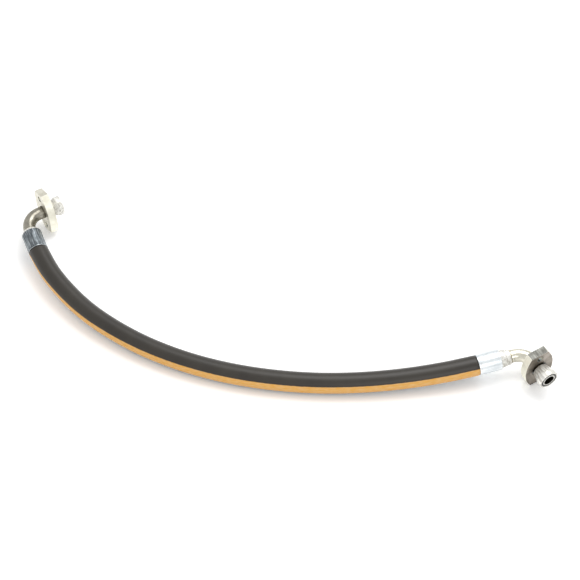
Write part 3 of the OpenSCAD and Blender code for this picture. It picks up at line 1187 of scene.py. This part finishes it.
@dataclass(frozen=True)
class HoseInsert:
    """The barbed tail in the hose and the collar outside it, with a socket for the tube.

    Sizes are in millimetres, and places count from the ferrule's mouth.

    Attributes:
        ferrule: The ferrule that holds it.
        taper: Length over which the collar tapers to the tube.
        collar_r: Radius of the collar.
        collar_length: Its length.
        collar_edge: Size of the chamfer on its back edge.
        socket_depth: How deep the tube sits in it.
        tail_start: Where the barbed tail begins.
        tail_r: Radius of the tail.
        bore_r: Radius of its bore.
        barbs: Number of barbs.
        barb_depth: Depth of the barbs.
    """

    ferrule: Ferrule
    taper: float
    collar_r: float = 12.0
    collar_length: float = 4.0
    collar_edge: float = 0.4
    socket_depth: float = 2.5
    tail_start: float = 2.0
    tail_r: float = 9.126
    bore_r: float = 7.726
    barbs: int = 5
    barb_depth: float = 0.5

    @property
    def collar_start(self) -> float:
        """Returns where the collar begins."""
        return self.ferrule.length + TUBE.gap

    @property
    def collar_end(self) -> float:
        """Returns where the collar ends and its taper begins."""
        return self.collar_start + self.collar_length

    @property
    def taper_end(self) -> float:
        """Returns where the taper ends."""
        return self.collar_end + self.taper

    @property
    def socket_floor(self) -> float:
        """Returns where the tube's end lies in its socket."""
        return self.collar_end - self.socket_depth

    def build(self, side: Side, axis: Matrix) -> None:
        """Turns the insert, whose collar has a broken corner before its taper.

        Args:
            side: Which end of the hose it is on.
            axis: Frame at the mouth that has the ferrule's axis as Z.
        """
        tail_end, neck_r = self.ferrule.inside, self.ferrule.neck_r
        pitch = (tail_end - self.tail_start) / (self.barbs + 1)
        corner_in, corner_front, corner_back = 0.2, 0.1, 0.5
        outline: Profile = [
            (self.bore_r, self.tail_start), (self.bore_r, self.socket_floor),
            (TUBE.seat_r, self.socket_floor), (TUBE.seat_r, self.taper_end),
            (TUBE.radius + TUBE.fillet, self.taper_end),
            (self.collar_r - corner_in, self.collar_end + corner_front),
            (self.collar_r, self.collar_end - corner_back),
            (self.collar_r, self.collar_start + self.collar_edge),
            (self.collar_r - self.collar_edge, self.collar_start), (neck_r, self.collar_start),
            (neck_r, tail_end), (self.tail_r, tail_end)]
        for k in range(self.barbs, 0, -1):
            at = self.tail_start + k * pitch
            outline += [(self.tail_r, at), (self.tail_r - self.barb_depth, at - pitch / 2)]
        outline.append((self.tail_r, self.tail_start))
        piece = turned(side.named("barbed_insert"), outline)
        settle(piece, axis)
        place_piece(piece, Body.HOSE, "fitting_steel", side.named("hose_insert"), HEAD_PLATING)


@dataclass(frozen=True)
class SealingHead:
    """The round head on the tube's nose, with its cone, rim, seal groove and face seal.

    Sizes are in millimetres, and places count from the bend's end.

    Attributes:
        cone: Length of the cone behind the rim.
        face: Where its flat face lies.
        radius: Its radius.
        edge: Size of the rounding on its edges.
        rim: Length of its cylindrical rim.
        socket_depth: How deep the tube sits in it.
        seal_r: Radius of the face seal, to the middle of its section.
        seal_section: Diameter of the seal's section.
        seal_proud: How far it stands out of the face.
        seal_steps: Steps round the seal's section.
        bore_shade: How far from the bore's wall the painted shade reaches.
    """

    cone: float
    face: float = 34.0
    radius: float = 14.0
    edge: float = 0.45
    rim: float = 6.0
    socket_depth: float = 6.0
    seal_r: float = 10.4
    seal_section: float = 2.4
    seal_proud: float = 0.3
    seal_steps: int = 24
    bore_shade: float = 0.2

    @property
    def back(self) -> float:
        """Returns where the cone begins."""
        return self.face - self.rim - self.cone

    @property
    def tube_end(self) -> float:
        """Returns where the tube ends in its socket."""
        return self.back + self.socket_depth

    def build(self, side: Side, nose: Matrix) -> None:
        """Turns the head and paints shade into its bore.

        Args:
            side: Which end of the hose it is on.
            nose: Frame at the bend's end that has the nose's axis as Z.
        """
        bore_r, socket_floor = TUBE.radius - TUBE.wall, self.tube_end + TUBE.gap
        groove_in = self.seal_r - self.seal_section / 2 - TUBE.gap
        groove_out = self.seal_r + self.seal_section / 2 + TUBE.gap
        groove_floor = self.face - (self.seal_section - self.seal_proud + TUBE.gap)
        outline: Profile = [
            (TUBE.seat_r, self.back), (TUBE.radius + TUBE.fillet, self.back),
            (self.radius, self.face - self.rim), (self.radius, self.face), (groove_out, self.face),
            (groove_out, groove_floor), (groove_in, groove_floor), (groove_in, self.face),
            (bore_r, self.face), (bore_r, socket_floor), (TUBE.seat_r, socket_floor)]
        outline = eased(outline, self.edge, keep=(0, 5, 6, 9, 10))
        piece = turned(side.named("sealing_head"), outline, sides=HEAD_SIDES)
        bore_shaded = [int(face.center.xy.length < (bore_r + self.bore_shade) * MM) for face in piece.data.polygons]
        settle(piece, nose)
        place_piece(piece, Body.HOSE, "fitting_steel", side.named("flange_head"), HEAD_PLATING,
                    SHADED_BORE, kinds=bore_shaded)

    def build_seal(self, side: Side, nose: Matrix) -> None:
        """Turns the face seal that lies in the groove.

        Args:
            side: Which end of the hose it is on.
            nose: Frame at the bend's end that has the nose's axis as Z.
        """
        section = self.seal_section / 2
        middle = self.face + self.seal_proud - section
        loop: Profile = [(self.seal_r + section * math.cos(a), middle + section * math.sin(a))
                         for a in (2 * math.pi * k / self.seal_steps for k in range(self.seal_steps))]
        piece = turned(side.named("face_seal"), loop, sides=HEAD_SIDES)
        settle(piece, nose, smooth_angle=60.0)
        place_piece(piece, Body.HOSE, "seal_rubber", side.named("o_ring"), SEAL)


@dataclass
class EndFitting:
    """One end of the hose: ferrule, insert, bent tube, sealing head and clamp plate.

    Sizes are in millimetres.

    Attributes:
        side: Which end.
        mouth: Where the hose enters the ferrule.
        insert: The insert, in its ferrule.
        head: The sealing head.
        plate: The clamp plate on the nose.
        tube_finish: The bent tube's finish.
        bend: Angle of the bend, in degrees.
        roll: How far the fitting is rolled about the ferrule's axis, in degrees.
        lead: Straight tube between the insert's taper and the bend.
        bend_radius: Radius of the bend, on the tube's axis.
        bend_steps: Steps along the bend.
        tube_sides: Steps round the tube.
        tube_frame: Frame at the mouth that has the ferrule's axis as X.
        axis: Frame at the mouth that has the ferrule's axis as Z.
        nose: Frame at the bend's end that has the nose's axis as Z.
    """

    side: Side
    mouth: Mouth
    insert: HoseInsert
    head: SealingHead
    plate: ClampPlate
    tube_finish: PlatedSteel
    bend: float
    roll: float
    lead: float
    bend_radius: float = 25.0
    bend_steps: int = 36
    tube_sides: int = 80
    tube_frame: Matrix = field(init=False)
    axis: Matrix = field(init=False)
    nose: Matrix = field(init=False)

    def __post_init__(self) -> None:
        """Works out the frames of the tube, the ferrule's axis and the nose."""
        upright = Matrix.Rotation(math.radians(90), 4, "Z") @ Matrix.Rotation(math.radians(90), 4, "X")
        bend = math.radians(self.bend)
        reach = self.bend_start + self.bend_radius * math.sin(bend)
        drop = self.bend_radius * (1 - math.cos(bend))
        self.tube_frame = self.mouth.frame(self.roll)
        self.axis = self.tube_frame @ upright
        self.nose = (self.tube_frame @ Matrix.Translation(Vector((reach, -drop, 0)) * MM)
                     @ Matrix.Rotation(-bend, 4, "Z") @ upright)

    @property
    def bend_start(self) -> float:
        """Returns how far from the mouth the bend begins."""
        return self.insert.taper_end + self.lead

    def build_tube(self) -> None:
        """Draws the tube: a straight run, the bend spun about its centre, and the nose."""
        socket_floor = self.insert.socket_floor
        piece = primitive(bpy.ops.mesh.primitive_circle_add, self.side.named("bent_tube"),
                          vertices=self.tube_sides, radius=TUBE.radius * MM,
                          location=(socket_floor * MM, 0, 0), rotation=(0, math.pi / 2, 0))
        apply_place()
        bend = math.radians(self.bend)
        run = (self.bend_start - socket_floor) * MM
        ahead = Vector((math.cos(bend), -math.sin(bend), 0)) * self.head.tube_end * MM
        with editing(piece):
            bpy.ops.mesh.select_mode(type="VERT")
            bpy.ops.mesh.select_all(action="SELECT")
            bpy.ops.mesh.extrude_region_move(TRANSFORM_OT_translate={"value": (run, 0, 0)})
            bpy.ops.mesh.spin(steps=self.bend_steps, angle=bend, axis=(0, 0, 1),
                              center=(self.bend_start * MM, -self.bend_radius * MM, 0))
            bpy.ops.mesh.extrude_region_move(TRANSFORM_OT_translate={"value": tuple(ahead)})
            weld()
        apply_modifier(piece, "SOLIDIFY", thickness=TUBE.wall * MM, offset=-1.0, use_even_offset=True)
        settle(piece, self.tube_frame)
        place_piece(piece, Body.HOSE, "fitting_steel", self.side.named("elbow_tube"), self.tube_finish)

    def build_brazes(self) -> None:
        """Turns the two hollow-faced braze rings, at the collar and behind the head."""
        steps = 6
        curve = [(TUBE.radius + TUBE.fillet - (TUBE.fillet - TUBE.gap) * math.sin(t),
                  TUBE.fillet - TUBE.fillet * math.cos(t))
                 for t in (math.pi / 2 * k / steps for k in range(steps + 1))]
        for name, node, base, way, frame_of_ring in (
                ("collar_braze", "insert_braze", self.insert.taper_end, 1, self.axis),
                ("cone_braze", "head_braze", self.head.back, -1, self.nose)):
            section = [(TUBE.seat_r, base)] + [(radius, base + way * height) for radius, height in curve]
            piece = turned(self.side.named(name), section)
            settle(piece, frame_of_ring)
            place_piece(piece, Body.HOSE, "braze", self.side.named(node), BRAZE_METAL)

    def build(self) -> None:
        """Makes every piece of this end."""
        self.insert.ferrule.build(self.side, self.axis)
        self.insert.build(self.side, self.axis)
        self.build_tube()
        self.build_brazes()
        self.head.build(self.side, self.nose)
        self.head.build_seal(self.side, self.nose)
        self.plate.build(self.side, self.nose)


# ---------------------------------------------------------------- the studio


@dataclass(frozen=True)
class Softbox:
    """A square soft lamp.

    Attributes:
        name: Its name.
        at: Its place, in metres.
        size: Its side, in metres.
        watts: Its power.
    """

    name: str
    at: Point
    size: float
    watts: float

    def hang(self, target: Point) -> None:
        """Hangs the lamp.

        Args:
            target: What it is turned to, in metres.
        """
        data = bpy.data.lights.new(self.name, "AREA")
        data.size = self.size
        data.energy = self.watts
        lamp = bpy.data.objects.new(self.name, data)
        lamp.location = self.at
        lamp.rotation_euler = (Vector(target) - Vector(self.at)).to_track_quat("-Z", "Y").to_euler()
        bpy.context.scene.collection.objects.link(lamp)


@dataclass
class Studio:
    """A pale floor, soft lamps and the camera.

    Attributes:
        camera_at: The camera's place, in metres.
        camera_turn: Its turns about X, Y and Z, in degrees.
        sensor: Width of its sensor, in millimetres.
        lens: Its focal length, in millimetres.
        sky: Strength of the light from all round.
        floor_size: Side of the floor, in metres.
        floor_drop: How far the floor lies under z = 0, in metres.
        floor_shade: Colour of the floor where light falls on it from the object.
        floor_gain: Brightness of the floor to the eye, where 1 is white under light of strength 1.
        fade: Distances between which the floor turns plain white, in metres.
        target: What the lamps are turned to, in metres.
        lamps: A broad lamp overhead and behind, and a weaker one at the front.
    """

    camera_at: Point = (0.41884, -1.20826, 1.66702)
    camera_turn: Point = (38.0, 0.0, 18.675)
    sensor: float = 36.0
    lens: float = 93.1
    sky: float = 0.78
    floor_size: float = 12.0
    floor_drop: float = 0.2 * MM
    floor_shade: str = "#d8d8d8"
    floor_gain: float = 1.22
    fade: tuple[float, float] = (0.55, 1.1)
    target: Point = (0.0, -0.05, 0.0)
    lamps: tuple[Softbox, ...] = (Softbox("overhead_softbox", (0.2, 0.9, 1.9), size=1.4, watts=21.0),
                                  Softbox("front_softbox", (1.4, -1.6, 1.4), size=1.0, watts=6.0))

    def aim_camera(self) -> None:
        """Places the camera and makes it the scene's own."""
        data = bpy.data.cameras.new("studio_camera")
        data.lens = self.lens
        data.sensor_width = self.sensor
        camera = bpy.data.objects.new("studio_camera", data)
        camera.location = self.camera_at
        camera.rotation_euler = [math.radians(a) for a in self.camera_turn]
        bpy.context.scene.collection.objects.link(camera)
        bpy.context.scene.camera = camera

    def build_floor(self) -> None:
        """Lays the floor, which looks white to the camera and keeps the shadow."""
        floor = primitive(bpy.ops.mesh.primitive_plane_add, "studio_floor", size=self.floor_size,
                          location=(0, 0, -self.floor_drop))
        material, tree = new_material("studio_floor")
        path = add_node(tree, "LightPath")
        seen = add_node(tree, "Math", {0: path.outputs["Is Camera Ray"], 1: path.outputs["Is Glossy Ray"]},
                        operation="MAXIMUM")
        pale = (self.floor_gain, self.floor_gain, self.floor_gain, 1.0)
        colour = add_node(tree, "MixRGB", {"Fac": seen, "Color1": hex_colour(self.floor_shade),
                                           "Color2": pale})
        lit = add_node(tree, "BsdfDiffuse", {"Color": colour})
        # Away from the object the floor is plain white to the eye, like the sky behind it.
        place = add_node(tree, "TexCoord").outputs["Object"]
        reach = add_node(tree, "VectorMath", {0: place}, operation="LENGTH").outputs["Value"]
        far = add_node(tree, "MapRange", {"Value": reach, "From Min": self.fade[0], "From Max": self.fade[1]})
        plain = add_node(tree, "Math", {0: far, 1: seen}, operation="MULTIPLY")
        white = add_node(tree, "Emission", {"Color": (1.0, 1.0, 1.0, 1.0), "Strength": 1.0})
        shader = add_node(tree, "MixShader", {0: plain, 1: lit, 2: white})
        add_node(tree, "OutputMaterial", {"Surface": shader})
        floor.data.materials.append(material)

    def build_sky(self) -> None:
        """Makes the sky: white where it is seen or mirrored, softer where it lights."""
        world = bpy.data.worlds.new("studio_sky")
        world.use_nodes = True
        tree = world.node_tree
        tree.nodes.clear()
        path = add_node(tree, "LightPath")
        mirrored = add_node(tree, "Math", {0: path.outputs["Is Glossy Ray"],
                                           1: path.outputs["Is Transmission Ray"]}, operation="MAXIMUM")
        seen = add_node(tree, "Math", {0: path.outputs["Is Camera Ray"], 1: mirrored}, operation="MAXIMUM")
        level = add_node(tree, "MapRange", {"Value": seen, "To Min": self.sky, "To Max": 1.0})
        shader = add_node(tree, "Background", {"Color": (1.0, 1.0, 1.0, 1.0), "Strength": level})
        add_node(tree, "OutputWorld", {"Surface": shader})
        bpy.context.scene.world = world

    def build(self) -> None:
        """Makes the studio round the object."""
        self.build_floor()
        self.build_sky()
        for lamp in self.lamps:
            lamp.hang(self.target)
        bpy.context.scene.view_settings.view_transform = "Standard"


# ---------------------------------------------------------------- the whole assembly


def main() -> None:
    """Builds the camera, the hose, both ends and the studio, in that order."""
    logging.basicConfig(level=logging.INFO, format="%(name)s: %(message)s")
    studio = Studio()
    studio.aim_camera()
    left_mouth = Mouth((-0.3507, -0.0432, 0.0288), heading=132.0, climb=5.0)
    right_mouth = Mouth((0.2861, -0.0333, 0.0246), heading=33.0, climb=5.0)
    Hose(left_mouth, right_mouth).build()
    EndFitting(Side.LEFT, left_mouth, HoseInsert(Ferrule(SHADED_DIE_MARKED_ZINC), taper=1.0), SealingHead(cone=9.0),
               ClampPlate(turn=-27.0, setback=6.0, finishes=(HIGHLIT_BAR_SIDE, LIT_PALE_BAR, LIT_PALE_BAR, HIGHLIGHT_ZINC)),
               SHADED_TUBE, bend=82.0, roll=-2.6, lead=2.0).build()
    EndFitting(Side.RIGHT, right_mouth, HoseInsert(Ferrule(HIGHLIGHT_ZINC), taper=10.0), SealingHead(cone=14.5),
               ClampPlate(turn=0.0, setback=0.6, finishes=(HIGHLIT_BAR_SIDE, SHADED_BAR_FACE, BAR_END, HIGHLIGHT_ZINC)),
               TUBE_PLATING, bend=75.0, roll=0.0, lead=4.0).build()
    studio.build()


if __name__ == "__main__":
    main()
